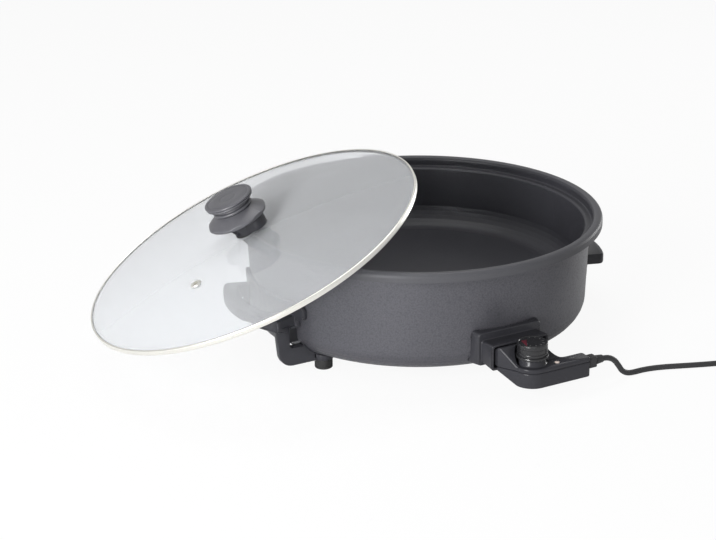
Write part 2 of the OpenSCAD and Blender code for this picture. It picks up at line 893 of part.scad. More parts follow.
module dial() {
    skirt_r = dial_r + 1;
    groove_r = dial_r - 0.8;
    color([0.13, 0.13, 0.13]) translate([0, dial_y, dial_z]) difference() {
        rotate_extrude() polygon([
            [0, 0], [skirt_r, 0], [skirt_r, 2.6], [skirt_r - 0.6, 3.2],
            [groove_r, 3.2], [groove_r, 4], [dial_r, 4.4], [dial_r, 6.4],
            [groove_r, 6.8], [groove_r, 7.6], [dial_r, 8],
            [dial_r - 0.3, dial_h - 1], [dial_r - 1, dial_h],
            [dial_r - 2.5, dial_h], [dial_r - 3, dial_h - 0.8],
            [0, dial_h - 0.8]
        ]);
        translate([0, 0, -1])
            cylinder(h = dial_h - 4, r = shaft_r + run_gap);
    }
}

// A raised wedge that shows where the dial points
module dial_pointer() {
    color("crimson") translate([0, dial_y, dial_z + dial_h - 0.8])
        rotate([0, 0, 168]) linear_extrude(0.6)
            polygon([[dial_r - 4, 0], [dial_r - 11, 3.4], [dial_r - 11, -3.4]]);
}

module dial_shaft() {
    foot_z = case_z + 12;
    color("silver") translate([0, dial_y, foot_z])
        cylinder(h = dial_z + dial_h - 5.5 - foot_z, r = shaft_r);
}

// The cam under the dial works the thermostat's contacts
module thermostat_cam() {
    color("khaki") translate([0, dial_y, case_z + 12]) difference() {
        translate([1, 0, 0]) cylinder(h = 4, r = 7);
        translate([0, 0, -1]) cylinder(h = 6, r = shaft_r + run_gap);
    }
}

// ---- lid -----------------------------------------------------------------

module vent_place() {
    slope = asin(vent_out / dome_sphere);
    rotate([0, 0, lid_fall + 36.9]) translate([vent_out, 0, glass_z + dome_h(vent_out)])
        rotate([0, slope, 0]) children();
}

module lid_glass() {
    bands = 16;
    hole_r = screw_r + 0.7;
    edge_r = lid_r - band_t - fit_gap;
    color([0.86, 0.9, 0.9, 0.35]) lid_place() difference() {
        rotate_extrude() polygon(concat(
            [for (i = [0:bands]) let (r = hole_r + (dome_r - hole_r) * i / bands)
                [r, glass_z + dome_h(r)]],
            [[edge_r, glass_z], [edge_r, glass_z + glass_t]],
            [for (i = [bands:-1:0]) let (r = hole_r + (dome_r - hole_r) * i / bands)
                [r, glass_z + glass_t + dome_h(r)]]
        ));
        vent_place() translate([0, 0, -2])
            cylinder(h = glass_t + 4, r = vent_r - 2 + fit_gap);
    }
}

module lid_rim() {
    top = glass_z + glass_t + fit_gap + band_t;
    color([0.8, 0.78, 0.72]) lid_place() rotate_extrude() polygon([
        [lid_r - band_w, 0], [lid_r - 0.5, 0], [lid_r, 0.5],
        [lid_r, top - 0.5], [lid_r - 0.5, top], [lid_r - band_w, top],
        [lid_r - band_w, top - band_t], [lid_r - band_t, top - band_t],
        [lid_r - band_t, band_t], [lid_r - band_w, band_t]
    ]);
}

module vent_grommet() {
    lip = 0.9;
    gap = 0.05;
    neck_r = vent_r - 2;
    color("silver") lid_place() vent_place() rotate_extrude() polygon([
        [vent_r - 3.5, -lip - gap], [vent_r - 0.8, -lip - gap],
        [vent_r - 0.4, -gap], [neck_r, -gap], [neck_r, glass_t + gap],
        [vent_r, glass_t + gap], [vent_r - 0.6, glass_t + lip + gap],
        [vent_r - 3.5, glass_t + lip + gap]
    ]);
}

module knob_gasket() {
    color([0.1, 0.1, 0.1]) lid_place() translate([0, 0, crown_z])
        difference() {
            cylinder(h = gasket_t, r = pedestal_r + 1);
            translate([0, 0, -1]) cylinder(h = gasket_t + 2, r = screw_r + fit_gap);
        }
}

module screw_bore(z, h) {
    translate([0, 0, z]) cylinder(h = h, r = screw_r + fit_gap);
}

// A ribbed cone that widens up to the guard, with a wing on one side that the
// lid can stand on
module knob_pedestal() {
    top_t = 3;
    rib_t = 6;
    wing_w = 22;
    color([0.12, 0.12, 0.12]) lid_place() difference() {
        translate([0, 0, pedestal_z]) {
            cylinder(h = pedestal_h, r1 = pedestal_r - 2,
                     r2 = pedestal_top_r - 3);
            cylinder(h = 2, r = pedestal_r);
            translate([0, 0, pedestal_h - top_t])
                cylinder(h = top_t, r = pedestal_top_r);
            for (turn = [5, 95, 185, 275]) rotate([90, 0, turn])
                translate([0, 0, -rib_t / 2]) linear_extrude(rib_t) polygon([
                    [0, 0], [pedestal_r, 0], [pedestal_r + 0.5, 2],
                    [pedestal_top_r + 1, pedestal_h - top_t],
                    [pedestal_top_r + 1, pedestal_h - 1], [0, pedestal_h - 1]
                ]);
            intersection() {
                rotate([0, 0, 315]) linear_extrude(pedestal_h) {
                    translate([0, -wing_w / 2]) square([wing_r - wing_w / 2, wing_w]);
                    translate([wing_r - wing_w / 2, 0]) circle(wing_w / 2);
                }
                rotate_extrude() polygon([
                    [0, 0.5], [pedestal_r + 2, 0.5], [wing_r, 4],
                    [wing_r, 8], [guard_r - 8, pedestal_h], [0, pedestal_h]
                ]);
            }
        }
        screw_bore(pedestal_z - 1, pedestal_h + 2);
    }
}

// An eight-sided plate with softened corners and a conical top
module knob_guard() {
    color([0.12, 0.12, 0.12]) lid_place() difference() {
        translate([0, 0, guard_z]) intersection() {
            rotate_extrude() polygon([
                [0, 0], [guard_r - 3, 0], [guard_r - 1, 0.8], [guard_r, 2],
                [guard_r, guard_t - 1], [guard_r - 1, guard_t],
                [collar_r - 1.5, guard_h], [0, guard_h]
            ]);
            linear_extrude(guard_h) polygon([for (i = [0:7])
                (guard_r + 1.5) * [cos(45 * i), sin(45 * i)]]);
        }
        screw_bore(guard_z - 1, guard_h + 2);
    }
}

module knob_collar() {
    lip_t = 4;
    neck_r = collar_r - 2.5;
    color([0.12, 0.12, 0.12]) lid_place() difference() {
        translate([0, 0, collar_z]) rotate_extrude() polygon([
            [0, 0], [neck_r, 0], [neck_r, 0.6], [collar_r, 0.9],
            [collar_r + 0.4, 2], [collar_r, lip_t], [neck_r, lip_t + 0.6],
            [neck_r, collar_h - 1.5], [neck_r + 2, collar_h], [0, collar_h]
        ]);
        screw_bore(collar_z - 1, collar_h + 2);
    }
}

module knob_cap() {
    rim_in = 4.5;
    color([0.2, 0.2, 0.21]) lid_place() difference() {
        translate([0, 0, cap_z]) rotate_extrude() polygon(concat(
            [[0, 0], [cap_r - 1.2, 0]],
            arc([cap_r - 1.2, 1.2], 1.2, -90, 0, 4),
            arc([cap_r - 2.2, cap_h - 2.4], 2.2, 0, 85, 6),
            [[cap_r - rim_in + 0.6, cap_h - 0.1], [cap_r - rim_in, cap_h - 0.7],
             [cap_r - rim_in - 0.8, cap_h - 0.7],
             [cap_r - rim_in - 1.4, cap_h - 0.2],
             [cap_r - 12, cap_h], [cap_r / 3, cap_h - 0.2], [0, cap_h - 0.3]]
        ));
        screw_bore(cap_z - 1, cap_h - 1);
    }
}

module knob_washer() {
    z = glass_z + dome_rise - washer_t - 0.1;
    color("silver") lid_place() translate([0, 0, z]) difference() {
        cylinder(h = washer_t, r = pedestal_r - 1);
        translate([0, 0, -1]) cylinder(h = washer_t + 2, r = screw_r + fit_gap);
    }
}

// Its head is flat, so that the lid can lean on the rim below it
module knob_screw() {
    head_t = 1.6;
    seat = glass_z + dome_rise - washer_t - 0.1;
    color("silver") lid_place() {
        translate([0, 0, seat - head_t]) cylinder(h = head_t, r = screw_r * 1.9);
        translate([0, 0, seat - eps])
            cylinder(h = cap_z + cap_h - 2.4 - seat, r = screw_r);
    }
}

// ---- cord ----------------------------------------------------------------

function unit(v) = v / norm(v);

// Points of one ring of the swept cord, square to its direction t at p
function cord_ring(p, t, r, n) =
    let (side = unit(cross(t, [0, 0, 1])), up = cross(side, t))
        [for (i = [0:n - 1]) let (a = 360 * i / n)
            p + r * cos(a) * side + r * sin(a) * up];

module cord_tube(path, r, n = 10) {
    last = len(path) - 1;
    rings = [for (i = [0:last])
        cord_ring(path[i],
                  unit(path[min(i + 1, last)] - path[max(i - 1, 0)]), r, n)];
    points = [for (ring = rings, p = ring) p];
    walls = [for (k = [0:last - 1], i = [0:n - 1]) let (j = (i + 1) % n)
        [k * n + i, k * n + j, (k + 1) * n + j, (k + 1) * n + i]];
    start = [[for (i = [n - 1:-1:0]) i]];
    end = [[for (i = [0:n - 1]) last * n + i]];
    polyhedron(points, concat(start, walls, end));
}

module cord() {
    color([0.1, 0.1, 0.1]) {
        cord_tube(CORD_RUN, cord_d / 2);
        cord_tube(CORD_TAIL, cord_d / 2);
    }
}

// Outer shape of the coil, with its turns stacked a cord apart
module cord_coil() {
    coil_h = coil_turns * coil_pitch + cord_d;
    color([0.1, 0.1, 0.1])
        translate([coil_c[0], coil_c[1], coil_z + coil_h / 2])
            rotate_extrude() translate([coil_r, 0])
                rounded(cord_d, coil_h, cord_d / 2 - eps);
}

module cord_tie() {
    band = 0.8;
    coil_h = coil_turns * coil_pitch + cord_d;
    in = [cord_d + 0.2, coil_h + 0.2];
    color([0.2, 0.2, 0.2])
        translate([coil_c[0] - coil_r, coil_c[1] + 2.5, coil_z + coil_h / 2])
            rotate([90, 0, 0]) linear_extrude(5) difference() {
                square([in[0] + 2 * band, in[1] + 2 * band], center = true);
                square(in, center = true);
            }
}

// The moulded sleeve at the arm's end, held by a flange inside the case
module relief_form(grow = 0) {
    at_x = arm_l - case_wall;
    translate([at_x - 4 - grow, cord_y, cord_z]) rotate([0, 90, 0]) {
        cylinder(h = 3.8 + 2 * grow, r = 5.4 + grow);
        cylinder(h = 4 + case_wall + 1 + grow, r = 4.4 + grow);
    }
}

module strain_relief() {
    block_l = 10;
    start_x = arm_l + 0.1;
    tip_x = CORD_RUN[0][0];
    color([0.14, 0.14, 0.14]) {
        relief_form();
        translate([start_x, cord_y, cord_z]) rotate([90, 0, 90])
            linear_extrude(block_l) rounded(11.5, 12.5, 2);
        translate([start_x + block_l - eps, cord_y, cord_z])
            rotate([0, 90, 0])
                cylinder(h = tip_x - start_x - block_l + eps,
                         r1 = 5.2, r2 = cord_d / 2 + 0.9);
    }
}

// A moulded mains plug that lies on its side by the coil
module plug_body() {
    p = CORD_TAIL[len(CORD_TAIL) - 1];
    color([0.12, 0.12, 0.12]) translate(p) rotate([-90, 0, 0])
        rotate_extrude() polygon(concat(
            [[0, 0], [4.2, 0], [6, 20], [9, 23]],
            arc([plug_r - 5, 31], 5, -90, 0, 5),
            [[plug_r, 52], [plug_r - 1, 53], [0, 53]]
        ));
}

module plug_pins() {
    p = CORD_TAIL[len(CORD_TAIL) - 1];
    color("gainsboro") for (side = [-1, 1])
        translate([p[0] + side * 9.5, p[1] + 53, p[2]]) rotate([-90, 0, 0]) {
            cylinder(h = 17, r = 2.4);
            translate([0, 0, 17 - eps]) cylinder(h = 2, r1 = 2.4, r2 = 1.4);
        }
}

// ---- assembly ------------------------------------------------------------

outer_shell();
inner_pan();
heater_plate();
heating_element();
terminal_pin(-1);  // terminal_pin_1
terminal_pin(1);  // terminal_pin_2
element_seal(-1);  // element_seal_1
element_seal(1);  // element_seal_2
probe_guide_tube();
earth_strip();
socket_bracket();
bracket_screw(-1);  // bracket_screw_1
bracket_screw(1);  // bracket_screw_2
handle_left();
handle_right();
handle_screw(0, -1);  // handle_screw_1
handle_screw(0, 1);  // handle_screw_2
handle_screw(180, -1);  // handle_screw_3
handle_screw(180, 1);  // handle_screw_4
base_foot(foot_turns[1]);  // base_foot_1
base_foot(foot_turns[3]);  // base_foot_2
foot_pad(foot_turns[0]);  // foot_pad_1
foot_pad(foot_turns[1]);  // foot_pad_2
foot_pad(foot_turns[2]);  // foot_pad_3
foot_pad(foot_turns[3]);  // foot_pad_4
pan_stud(stud_turns[0]);  // pan_stud_1
pan_stud(stud_turns[1]);  // pan_stud_2
pan_stud(stud_turns[2]);  // pan_stud_3
pan_nut(stud_turns[0]);  // pan_nut_1
pan_nut(stud_turns[1]);  // pan_nut_2
pan_nut(stud_turns[2]);  // pan_nut_3
lid_glass();
lid_rim();
vent_grommet();
knob_gasket();
knob_pedestal();
knob_guard();
knob_collar();
knob_cap();
knob_washer();
knob_screw();
controller_lower_case();
controller_upper_case();
contact_block();
receptacle(-1);  // receptacle_1
receptacle(1);  // receptacle_2
probe_rod();
neon_lens();
dial();
dial_pointer();
dial_shaft();
thermostat_cam();
strain_relief();
cord();
cord_coil();
cord_tie();
plug_body();
plug_pins();
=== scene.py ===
# %% [markdown]
# # Dressing an electric skillet
# The solids of this skillet come from a CAD model in real size: a double-walled
# pan, two handles that carry its feet, a plug-in thermostat and a loose glass
# lid. Here each solid gets its finish. The pieces that need rounder edges or
# finer detail are modelled again round the same sizes, and stand in for their
# solids.

# %% Load the solids
import math

import bpy
from mathutils import Matrix, Vector
from mathutils.bvhtree import BVHTree


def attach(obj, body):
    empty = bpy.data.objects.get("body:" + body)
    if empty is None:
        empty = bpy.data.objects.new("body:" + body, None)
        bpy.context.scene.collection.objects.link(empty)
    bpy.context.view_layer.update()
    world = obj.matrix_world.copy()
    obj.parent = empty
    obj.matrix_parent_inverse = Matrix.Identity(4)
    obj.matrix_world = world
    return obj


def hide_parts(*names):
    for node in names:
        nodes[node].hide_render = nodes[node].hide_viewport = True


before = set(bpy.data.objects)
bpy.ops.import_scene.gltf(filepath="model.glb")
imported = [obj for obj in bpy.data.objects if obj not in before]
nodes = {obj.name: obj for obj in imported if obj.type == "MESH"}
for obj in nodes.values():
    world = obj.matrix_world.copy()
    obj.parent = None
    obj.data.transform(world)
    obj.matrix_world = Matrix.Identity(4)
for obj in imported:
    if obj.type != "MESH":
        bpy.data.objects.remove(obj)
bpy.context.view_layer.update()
MM = 0.001

# %% [markdown]
# ## Camera
# The view is from the front left, a little above the table. A camera could be
# placed by its coordinates, but a bearing, an elevation and a distance are
# easier to think in, so a helper turns them into a place and a direction. A
# long lens from two metres away keeps the round rim a calm ellipse. The small
# shift only moves the object to the right of the frame, which leaves room for
# the leaning lid.

# %% Camera
LOOK_AT = Vector((0, 0, 0.054))
VIEW_BEARING, VIEW_ELEVATION, VIEW_DISTANCE = 240, 21.13, 2.1
LENS, SHIFT_X, SHIFT_Y = 90.96, -0.0845, 0.0113


def look_from(target, bearing, elevation, distance):
    """A camera that looks at target from a bearing round the object."""
    bearing, elevation = math.radians(bearing), math.radians(elevation)
    away = Vector((math.cos(bearing) * math.cos(elevation),
                   math.sin(bearing) * math.cos(elevation), math.sin(elevation)))
    bpy.ops.object.camera_add(location=target + away * distance)
    camera = bpy.context.object
    camera.name = "camera"
    camera.rotation_mode = "QUATERNION"
    camera.rotation_quaternion = (-away).to_track_quat("-Z", "Y")
    return camera


camera = look_from(LOOK_AT, VIEW_BEARING, VIEW_ELEVATION, VIEW_DISTANCE)
camera.data.lens = LENS
camera.data.shift_x, camera.data.shift_y = SHIFT_X, SHIFT_Y
bpy.context.scene.camera = camera
bpy.context.scene.view_settings.view_transform = "Standard"
print("camera at", [round(x, 3) for x in camera.location])

# %% [markdown]
# ## Working by hand, in code
# Blender's operators act on what is selected, as they do under the mouse. Meshes
# could be filled with coordinates instead, but operators show each step as it is
# done by hand. Loading leaves the solids selected, so everything is deselected
# first, and then only what is worked on is selected.

# %% Selecting
def rest():
    """Object mode, with nothing selected."""
    if bpy.context.object and bpy.context.object.mode != "OBJECT":
        bpy.ops.object.mode_set(mode="OBJECT")
    bpy.ops.object.select_all(action="DESELECT")


def pick(piece):
    rest()
    piece.select_set(True)
    bpy.context.view_layer.objects.active = piece


# %% [markdown]
# ## The mains cord
# The cord is 6.2 mm round and a metre long, as on a plug-in thermostat. It
# leaves the arm straight, drops to the table, runs off to the right and is
# wound into a coil with its plug beside it. A mesh tube would do, but a curve
# keeps the cord's one property that matters, its length, in plain view. The
# coil's turns lie on each other a cord apart.

# %% Cord route
CORD_D = 6.2
COIL_AT, COIL_R, COIL_TURNS, COIL_PITCH = (312, -266), 33.9, 3.25, 6.3
COIL_Z, POINTS_A_TURN = 4.3, 16
CORD_RUN = [
    (82, -252.5, 30.5), (90.5, -252.5, 29), (98, -252.2, 24.7), (104.5, -251.8, 17),
    (110.5, -251.3, 9.1), (118, -250.7, 4.7), (127, -250.2, 3.3), (138, -250.2, 3.2),
    (151, -252, 3.2), (165, -256, 3.2), (182, -262.5, 3.2), (200, -269.5, 3.2),
    (218, -276, 3.2), (236, -282, 3.2), (254, -288, 3.2), (272, -293.5, 3.3),
    (292, -298, 3.7),
]
CORD_TAIL = [(346, -250, 24.4), (346, -236, 22.8), (346, -223, 20.4), (346, -210, 19)]


def coil_point(turn):
    angle = 2 * math.pi * turn - math.pi / 2
    return (COIL_AT[0] + COIL_R * math.cos(angle),
            COIL_AT[1] + COIL_R * math.sin(angle), COIL_Z + COIL_PITCH * turn)


coil = [coil_point(i / POINTS_A_TURN)
        for i in range(round(COIL_TURNS * POINTS_A_TURN) + 1)]
route = [Vector(p) * MM for p in CORD_RUN + coil + CORD_TAIL]

# %% Cord curve
rest()
bpy.ops.curve.primitive_bezier_curve_add(location=(0, 0, 0))
cord = bpy.context.object
cord.name = "mains_cord"
cord.data.splines.remove(cord.data.splines[0])
spline = cord.data.splines.new("BEZIER")
spline.bezier_points.add(len(route) - 1)
for point, place in zip(spline.bezier_points, route):
    point.co = place
    point.handle_left_type = point.handle_right_type = "AUTO"
cord.data.dimensions = "3D"
cord.data.resolution_u = 4
cord.data.bevel_depth = CORD_D / 2 * MM
cord.data.bevel_resolution = 5
cord.data.use_fill_caps = True
print(cord.name, "has", len(spline.bezier_points), "points")

# %% [markdown]
# ## Stage and light
# A pale floor and white surroundings, as on a product table. White could come
# from much light on the floor, but that would bleach the object too. Here the
# camera and the glass see plain white, the reflections a softer one, and the
# lamps stay at a level at which a colour shows about as it is written. A large
# lamp at the left shapes the round wall, and one beside it lights its front.

# %% Floor
FLOOR_SIZE = 12
rest()
bpy.ops.mesh.primitive_plane_add(size=FLOOR_SIZE, location=(0, 0, 0))
floor = bpy.context.object
floor.name = "floor"
print(floor.name, FLOOR_SIZE, "m square")

# %% Lamps
def softbox(name, place, aim, size, power):
    """A rectangular lamp that faces a point."""
    rest()
    bpy.ops.object.light_add(type="AREA", location=place)
    lamp = bpy.context.object
    lamp.name = name
    lamp.data.shape = "RECTANGLE"
    lamp.data.size, lamp.data.size_y = size
    lamp.data.energy = power
    lamp.rotation_mode = "QUATERNION"
    aim_at = Vector(aim) - Vector(place)
    lamp.rotation_quaternion = aim_at.to_track_quat("-Z", "Y")
    print(name, "lamp", power, "W")


PAN_MIDDLE, FRONT_LEFT_WALL = (0, 0, 0.08), (-0.1, -0.1, 0.08)
softbox("key", (-1.9, -0.95, 1.05), PAN_MIDDLE, (0.8, 0.8), 31)
softbox("rim", (1.8, 0.35, 0.2), PAN_MIDDLE, (0.5, 0.3), 6)
softbox("front", (-1.9, -1.33, 0.42), FRONT_LEFT_WALL, (0.5, 0.4), 34)
softbox("top", (0.0, 0.4, 2.0), PAN_MIDDLE, (1.6, 1.0), 15)

# %% [markdown]
# ## Shader maths
# A finish is easier to read when its maths looks like maths. Nodes could be
# added and linked one by one, but then a sum of two patterns takes ten lines.
# `Value` wraps one output of a node tree and adds a Math node for each
# operator. `Shading.node` adds any other node: its settings first, then its
# inputs. `Finish` is the node tree of a material.

# %% Shader helper
class Value:
    """One output in a node tree, for arithmetic on numbers."""

    def __init__(self, shading, socket):
        self.shading, self.socket = shading, socket

    def math(self, operation, a, b):
        return self.shading.node("Math", {"operation": operation}, {0: a, 1: b})

    def __add__(self, other): return self.math("ADD", self, other)
    def __radd__(self, other): return self.math("ADD", other, self)
    def __sub__(self, other): return self.math("SUBTRACT", self, other)
    def __rsub__(self, other): return self.math("SUBTRACT", other, self)
    def __mul__(self, other): return self.math("MULTIPLY", self, other)
    def __rmul__(self, other): return self.math("MULTIPLY", other, self)
    def __gt__(self, other): return self.math("GREATER_THAN", self, other)
    def at_least(self, other): return self.math("MAXIMUM", self, other)


class Shading:
    """A node tree that grows node by node."""

    def __init__(self, tree):
        self.tree = tree

    def plug(self, socket, value):
        if isinstance(value, Value):
            self.tree.links.new(value.socket, socket)
        else:
            socket.default_value = value

    def node(self, kind, settings=None, inputs=None, output=0):
        node = self.tree.nodes.new("ShaderNode" + kind)
        for key, value in (settings or {}).items():
            setattr(node, key, value)
        for key, value in (inputs or {}).items():
            self.plug(node.inputs[key], value)
        return Value(self, node.outputs[output])


# %% Finish
class Finish(Shading):
    """A material round one Principled shader.

    The colour and the roughness are plain values. They stay on their sockets
    below any pattern, for a viewer that can't follow the pattern's nodes.
    """

    def __init__(self, name, color, roughness, **fixed):
        self.material = bpy.data.materials.new(name)
        self.material.use_nodes = True
        super().__init__(self.material.node_tree)
        self.shader = self.tree.nodes["Principled BSDF"]
        self.feed("Base Color", (*color, 1))
        self.feed("Roughness", roughness)
        for key, value in fixed.items():
            self.feed(key.replace("_", " "), value)

    def feed(self, name, value):
        self.plug(self.shader.inputs[name], value)

    def place(self):
        return self.node("TexCoord", output="Object")

    def radius(self):
        """The distance from the pan's axis, in metres."""
        flat = self.node("VectorMath", {"operation": "MULTIPLY"},
                         {0: self.place(), 1: (1, 1, 0)})
        return self.node("VectorMath", {"operation": "LENGTH"}, {0: flat},
                         output="Value")

    def noise(self, scale, detail=2.0, rough=0.5):
        return self.node("TexNoise", {}, {
            "Vector": self.place(), "Scale": scale, "Detail": detail,
            "Roughness": rough})

    def mix(self, factor, a, b):
        """A colour between two colours."""
        return self.node("Mix", {"data_type": "RGBA"},
                         {0: factor, 6: (*a, 1), 7: (*b, 1)}, output=2)

    def choose(self, mask, where_not, where):
        """One colour pattern where a mask is 0, and another where it is 1."""
        return self.node("Mix", {"data_type": "RGBA"},
                         {0: mask, 6: where_not, 7: where}, output=2)

    def bump(self, height, depth, strength=1.0):
        self.feed("Normal", self.node("Bump", {}, {
            "Height": height, "Distance": depth, "Strength": strength}))

    def done(self):
        print(self.material.name, len(self.tree.nodes), "nodes")
        return self.material


# %% White surroundings
SKY_WHITE, SKY_IN_GLOSS, SKY_LIGHT = 1.0, 0.62, 0.26
PAPER_WHITE, PAPER_IN_GLOSS = 0.92, 0.2


def seen_directly(shading, plain, mirrored):
    """How much a surface glows: plain where the camera or a pane of glass looks
    at it, mirrored in a reflection, and nothing for all other light."""
    by_camera = shading.node("LightPath", output="Is Camera Ray") * plain
    through_glass = shading.node("LightPath", output="Is Transmission Ray") * plain
    in_gloss = shading.node("LightPath", output="Is Glossy Ray") * mirrored
    return by_camera.at_least(through_glass).at_least(in_gloss)


world = bpy.data.worlds.new("surroundings")
bpy.context.scene.world = world
world.use_nodes = True
sky = Shading(world.node_tree)
background = sky.tree.nodes["Background"]
sky.plug(background.inputs["Color"], (1, 1, 1, 1))
sky.plug(background.inputs["Strength"],
         seen_directly(sky, SKY_WHITE, SKY_IN_GLOSS).at_least(SKY_LIGHT))

paper = Finish("pale_paper", (0.88, 0.88, 0.88), 0.9)
glow = paper.node("Emission", {}, {"Color": (1, 1, 1, 1), "Strength": 1.0})
lit_paper = paper.node("MixShader", {}, {
    0: seen_directly(paper, PAPER_WHITE, PAPER_IN_GLOSS),
    1: Value(paper, paper.shader.outputs[0]), 2: glow})
paper.plug(paper.tree.nodes["Material Output"].inputs["Surface"], lit_paper)
floor.data.materials.append(paper.done())

# %% [markdown]
# ## Hammertone paint
# The outer shell is sprayed with a grey hammertone paint: shallow dimples a
# millimetre or two apart, lighter where metal flake gathers in them, under a
# glossy skin. The dimples could be sculpted, but thousands of them would swamp
# the mesh, so they are a bump: cells of a Voronoi texture, bent by a little
# noise so that no grid shows.

# %% Hammertone paint
def hammertone():
    paint = Finish("hammertone_paint", (0.08, 0.08, 0.085), 0.38, Metallic=0.4)
    wobble = paint.node("TexNoise", {}, {
        "Vector": paint.place(), "Scale": 160.0, "Detail": 1.0}, output="Color")
    moved = paint.node("VectorMath", {"operation": "MULTIPLY_ADD"},
                       {0: wobble, 1: (0.004, 0.004, 0.004), 2: paint.place()})
    cells = paint.node("TexVoronoi", {"feature": "SMOOTH_F1"}, {
        "Vector": moved, "Scale": 620.0, "Smoothness": 0.6}, output="Distance")
    grain = paint.noise(1400.0, 1.0)
    paint.feed("Base Color", paint.mix(cells * 1.1 + grain * 0.25 - 0.1,
                                       (0.104, 0.103, 0.117), (0.066, 0.066, 0.076)))
    paint.feed("Roughness", 0.30 + cells * 0.16)
    paint.bump(cells + grain * 0.08, depth=0.00016, strength=0.4)
    return paint.done()


shell_paint = hammertone()

# %% [markdown]
# ## Non-stick coating
# Inside, the pan and its rolled rim carry a dark non-stick coating with a fine
# speckle and an eggshell gloss. The rim is painted a lighter grey, a painted
# highlight for the light that the rolled rim catches. One colour would look like
# plastic: a very fine noise tints and roughens it, and a slower one keeps the
# reflections from looking drawn with a ruler. The distance from the pan's axis
# tells the rim from the inside, so one finish does both.

# %% Non-stick coating
RIM_FROM = 0.2005     # metres from the pan's axis


def coating():
    coat = Finish("nonstick_coating", (0.03, 0.03, 0.034), 0.4,
                  Specular_IOR_Level=0.28)
    speckle = coat.noise(900.0, 3.0, 0.7)
    cloud = coat.noise(14.0, 2.0)
    tint = speckle * 0.9 + cloud * 0.2
    inside = coat.mix(tint, (0.021, 0.021, 0.025), (0.042, 0.042, 0.049))
    # The rim's lighter grey is a painted highlight, for the light that the rim
    # catches.
    painted_lit_rim = coat.mix(tint, (0.05, 0.05, 0.056), (0.085, 0.085, 0.094))
    coat.feed("Base Color", coat.choose(coat.radius() > RIM_FROM, inside, painted_lit_rim))
    coat.feed("Roughness", 0.34 + speckle * 0.12 + cloud * 0.06)
    coat.bump(speckle, depth=0.00003, strength=0.5)
    return coat.done()


pan_coating = coating()

# %% [markdown]
# ## Moulded plastics and rubber
# The handles, the socket and the knob are black phenolic, which comes out of
# the mould with a low sheen. The handles take a slightly lighter copy of it, and
# the knob's cap, collar and guard a greyer one. Both are painted light, for the
# light that falls on them, while the socket and the knob's pedestal keep the
# darker one. The thermostat's case has a fine spark-eroded grain, and rubber is
# rougher and a little dusty. Each could have a node tree of its own, but nearly
# black finishes differ only in tint, sheen and grain, so one helper takes these
# as numbers: the grain is too fine to see from afar, and a slow noise keeps the
# sheen from being even.

# %% Plastics and rubber
SHEEN_SPREAD = 0.1


def moulded(name, dark, light, roughness, grain_scale, depth, **fixed):
    """A moulded finish with a fine grain and slow changes in its sheen."""
    skin = Finish(name, dark, roughness, **fixed)
    grain = skin.noise(grain_scale, 2.0, 0.6)
    sheen = skin.noise(22.0, 2.0)
    skin.feed("Base Color", skin.mix(sheen * 0.7 + grain * 0.3, dark, light))
    skin.feed("Roughness", roughness - SHEEN_SPREAD / 2 + sheen * SHEEN_SPREAD
              + grain * 0.05)
    skin.bump(grain, depth, strength=0.5)
    return skin.done()


phenolic = moulded(
    "black_phenolic", (0.021, 0.021, 0.025), (0.036, 0.036, 0.042),
    roughness=0.27, grain_scale=700.0, depth=0.00003, Specular_IOR_Level=0.32)
# A lighter copy of black_phenolic: painted light, for the light on the handles.
painted_lit_handle_phenolic = moulded(
    "painted_lit_handle_phenolic", (0.027, 0.027, 0.032), (0.044, 0.044, 0.051),
    roughness=0.3, grain_scale=700.0, depth=0.00003, Specular_IOR_Level=0.28)
# A greyer copy of black_phenolic: painted light on the knob's cap, collar and guard.
# The pedestal under the guard keeps the darker one.
painted_lit_knob_phenolic = moulded(
    "painted_lit_knob_phenolic", (0.064, 0.064, 0.072), (0.092, 0.092, 0.103),
    roughness=0.36, grain_scale=600.0, depth=0.00003, Specular_IOR_Level=0.6)
case_plastic = moulded(
    "grained_case_plastic", (0.024, 0.024, 0.028), (0.038, 0.038, 0.044),
    roughness=0.2, grain_scale=1500.0, depth=0.00002, Specular_IOR_Level=0.2)
dial_plastic = moulded(
    "dial_plastic", (0.012, 0.012, 0.013), (0.02, 0.02, 0.022),
    roughness=0.24, grain_scale=1200.0, depth=0.00002, Specular_IOR_Level=0.5)

# %% Rubber, small mouldings and ceramic
rubber = moulded(
    "foot_rubber", (0.011, 0.011, 0.011), (0.024, 0.024, 0.024),
    roughness=0.7, grain_scale=500.0, depth=0.00006)
cord_rubber = moulded(
    "cord_sheath", (0.012, 0.012, 0.013), (0.02, 0.02, 0.022),
    roughness=0.5, grain_scale=800.0, depth=0.00003)
tie_plastic = moulded(
    "cord_tie_nylon", (0.02, 0.02, 0.02), (0.03, 0.03, 0.03),
    roughness=0.45, grain_scale=700.0, depth=0.00002)
pointer_red = moulded(
    "pointer_red", (0.09, 0.009, 0.018), (0.13, 0.013, 0.026),
    roughness=0.35, grain_scale=900.0, depth=0.00002)
tick_paint = moulded(
    "tick_paint", (0.08, 0.08, 0.08), (0.12, 0.12, 0.12),
    roughness=0.5, grain_scale=900.0, depth=0.00001)
# The lens's pale warm white is partly its own tone and partly a painted highlight, for
# a glint beside the dial.
lens_pale_and_painted_highlight = moulded(
    "lamp_lens", (0.62, 0.5, 0.44), (0.78, 0.68, 0.62),
    roughness=0.1, grain_scale=300.0, depth=0.00001)
ceramic = moulded(
    "ceramic_bead", (0.62, 0.59, 0.52), (0.72, 0.7, 0.64),
    roughness=0.6, grain_scale=700.0, depth=0.00003)
nylon = moulded(
    "natural_nylon", (0.6, 0.57, 0.48), (0.7, 0.67, 0.6),
    roughness=0.4, grain_scale=500.0, depth=0.00002)

